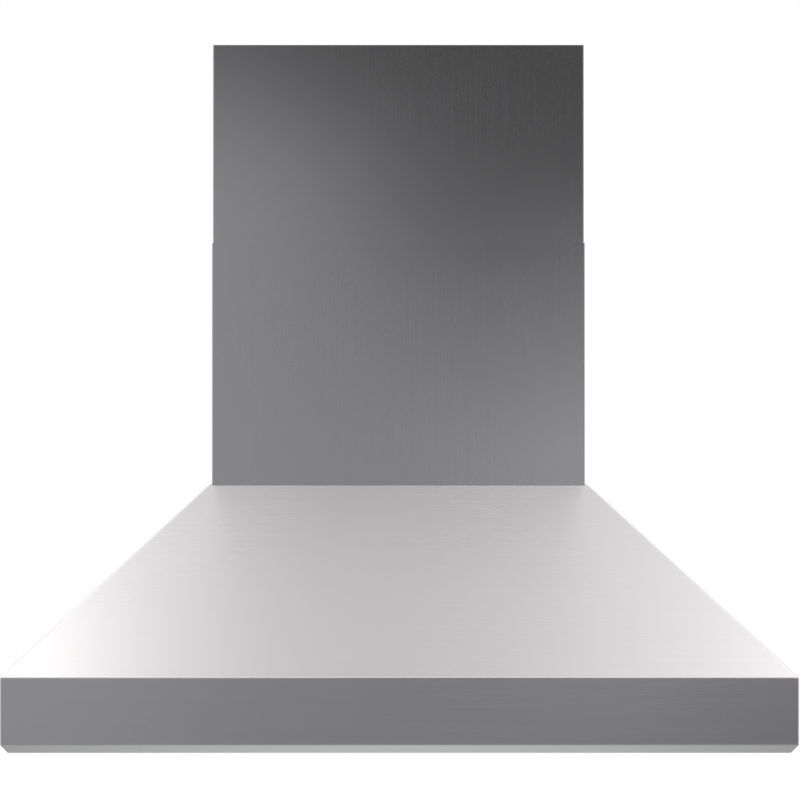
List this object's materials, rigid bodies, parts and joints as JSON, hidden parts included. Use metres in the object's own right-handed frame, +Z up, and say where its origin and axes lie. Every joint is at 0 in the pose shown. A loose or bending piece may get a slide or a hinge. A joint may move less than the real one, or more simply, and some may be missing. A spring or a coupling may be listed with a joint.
{
  "type": "wall mount range hood",
  "caption": "Pyramid canopy wall range hood in brushed steel with a telescoping chimney, baffle filters, a blower, lamps and push buttons.",
  "frame": {"origin": "on the wall plane, on the hood's centre line, at the height of its lowest edge", "axes": "+X right as seen from the front, +Y into the wall, +Z up"},
  "size_m": [0.914, 0.559, 0.84],
  "materials": {
    "brushed_steel": "brushed stainless steel sheet, fine straight grain",
    "filter_steel": "satin stainless steel, lightly brushed",
    "galvanised_sheet": "galvanised sheet, faint spangle",
    "polished_steel": "polished stainless steel",
    "wheel_steel": "zinc plated sheet",
    "motor_paint": "satin black paint",
    "grommet_rubber": "matt black rubber",
    "damper_aluminium": "mill finish sheet",
    "can_aluminium": "spun aluminium",
    "black_plastic": "moulded, fine texture",
    "white_plastic": "moulded, fine texture",
    "frosted_glass": "frosted lens",
    "board_resin": "white board with pale yellow emitters",
    "screw_steel": "zinc plated screws",
    "black_lead": "black sleeve",
    "white_lead": "off-white sleeve"
  },
  "bodies": {
    "hood": {"canopy_shell": "brushed_steel", "lower_chimney": "brushed_steel", "front_rail": "brushed_steel", "rear_rail": "brushed_steel", "side_rail_left": "brushed_steel", "side_rail_right": "brushed_steel", "back_panel": "galvanised_sheet", "top_plate": "galvanised_sheet", "tray_runners": "galvanised_sheet", "junction_box": "galvanised_sheet", "junction_box_cover": "galvanised_sheet", "capacitor_clip": "galvanised_sheet", "blower_scroll": "galvanised_sheet", "blower_side_left": "galvanised_sheet", "blower_side_right": "galvanised_sheet", "motor_bracket": "galvanised_sheet", "duct_collar": "galvanised_sheet", "damper_rod": "galvanised_sheet", "motor": "motor_paint", "motor_grommets": "grommet_rubber", "control_plate": "polished_steel", "switch_block": "black_plastic", "lamp_can_left": "can_aluminium", "lamp_can_right": "can_aluminium", "lamp_bezel_left": "polished_steel", "lamp_bezel_right": "polished_steel", "lamp_lens_left": "frosted_glass", "lamp_lens_right": "frosted_glass", "led_boards": "board_resin", "led_driver": "white_plastic", "capacitor": "white_plastic", "chimney_screws": "screw_steel", "collar_screws": "screw_steel", "blower_screws": "screw_steel", "control_screws": "screw_steel", "motor_leads": "black_lead", "lamp_leads": "white_lead", "control_leads": "black_lead"},
    "upper_cover": {"upper_chimney": "brushed_steel", "upper_bracket": "galvanised_sheet", "bracket_screws": "screw_steel"},
    "wheel": {"impeller": "wheel_steel", "motor_shaft": "polished_steel"},
    "front_flap": {"damper_flap_front": "damper_aluminium"},
    "rear_flap": {"damper_flap_rear": "damper_aluminium"},
    "tray": {"grease_tray": "brushed_steel"},
    "filter_left": {"filter_frame_left": "filter_steel", "filter_baffles_left": "filter_steel"},
    "handle_left": {"filter_handle_left": "polished_steel"},
    "filter_centre": {"filter_frame_centre": "filter_steel", "filter_baffles_centre": "filter_steel"},
    "handle_centre": {"filter_handle_centre": "polished_steel"},
    "filter_right": {"filter_frame_right": "filter_steel", "filter_baffles_right": "filter_steel"},
    "handle_right": {"filter_handle_right": "polished_steel"},
    "push_1": {"button_1": "polished_steel"},
    "push_2": {"button_2": "polished_steel"},
    "push_3": {"button_3": "polished_steel"},
    "push_4": {"button_4": "polished_steel"},
    "push_5": {"button_5": "polished_steel"}
  },
  "joints": [
    {"name": "cover_slide", "type": "slide", "parent": "hood", "child": "upper_cover", "axis": [0, 0, 1], "range_m": [-0.205, 0.02]},
    {"name": "wheel_spin", "type": "hinge", "parent": "hood", "child": "wheel", "pos_m": [0, -0.105, 0.2048], "axis": [1, 0, 0], "continuous": true},
    {"name": "front_flap_swing", "type": "hinge", "parent": "hood", "child": "front_flap", "pos_m": [0, -0.1525, 0.325], "axis": [-1, 0, 0], "range_deg": [0, 80]},
    {"name": "rear_flap_swing", "type": "hinge", "parent": "hood", "child": "rear_flap", "pos_m": [0, -0.1525, 0.325], "axis": [1, 0, 0], "range_deg": [0, 80]},
    {"name": "tray_slide", "type": "slide", "parent": "hood", "child": "tray", "axis": [0, -1, 0], "range_m": [0, 0.06]},
    {"name": "filter_tilt_left", "type": "hinge", "parent": "hood", "child": "filter_left", "pos_m": [-0.27, -0.071, 0.0383], "axis": [-1, 0, 0], "range_deg": [0, 10]},
    {"name": "handle_swing_left", "type": "hinge", "parent": "filter_left", "child": "handle_left", "pos_m": [-0.27, -0.409, 0.0318], "axis": [1, 0, 0], "range_deg": [-80, 80]},
    {"name": "filter_tilt_centre", "type": "hinge", "parent": "hood", "child": "filter_centre", "pos_m": [0, -0.071, 0.0383], "axis": [-1, 0, 0], "range_deg": [0, 10]},
    {"name": "handle_swing_centre", "type": "hinge", "parent": "filter_centre", "child": "handle_centre", "pos_m": [0, -0.409, 0.0318], "axis": [1, 0, 0], "range_deg": [-80, 80]},
    {"name": "filter_tilt_right", "type": "hinge", "parent": "hood", "child": "filter_right", "pos_m": [0.27, -0.071, 0.0383], "axis": [-1, 0, 0], "range_deg": [0, 10]},
    {"name": "handle_swing_right", "type": "hinge", "parent": "filter_right", "child": "handle_right", "pos_m": [0.27, -0.409, 0.0318], "axis": [1, 0, 0], "range_deg": [-80, 80]},
    {"name": "button_press_1", "type": "slide", "parent": "hood", "child": "push_1", "axis": [0, 0, 1], "range_m": [0, 0.003], "stiffness_N_per_m": 400, "springref_m": -0.001},
    {"name": "button_press_2", "type": "slide", "parent": "hood", "child": "push_2", "axis": [0, 0, 1], "range_m": [0, 0.003], "stiffness_N_per_m": 400, "springref_m": -0.001},
    {"name": "button_press_3", "type": "slide", "parent": "hood", "child": "push_3", "axis": [0, 0, 1], "range_m": [0, 0.003], "stiffness_N_per_m": 400, "springref_m": -0.001},
    {"name": "button_press_4", "type": "slide", "parent": "hood", "child": "push_4", "axis": [0, 0, 1], "range_m": [0, 0.003], "stiffness_N_per_m": 400, "springref_m": -0.001},
    {"name": "button_press_5", "type": "slide", "parent": "hood", "child": "push_5", "axis": [0, 0, 1], "range_m": [0, 0.003], "stiffness_N_per_m": 400, "springref_m": -0.001}
  ]
}
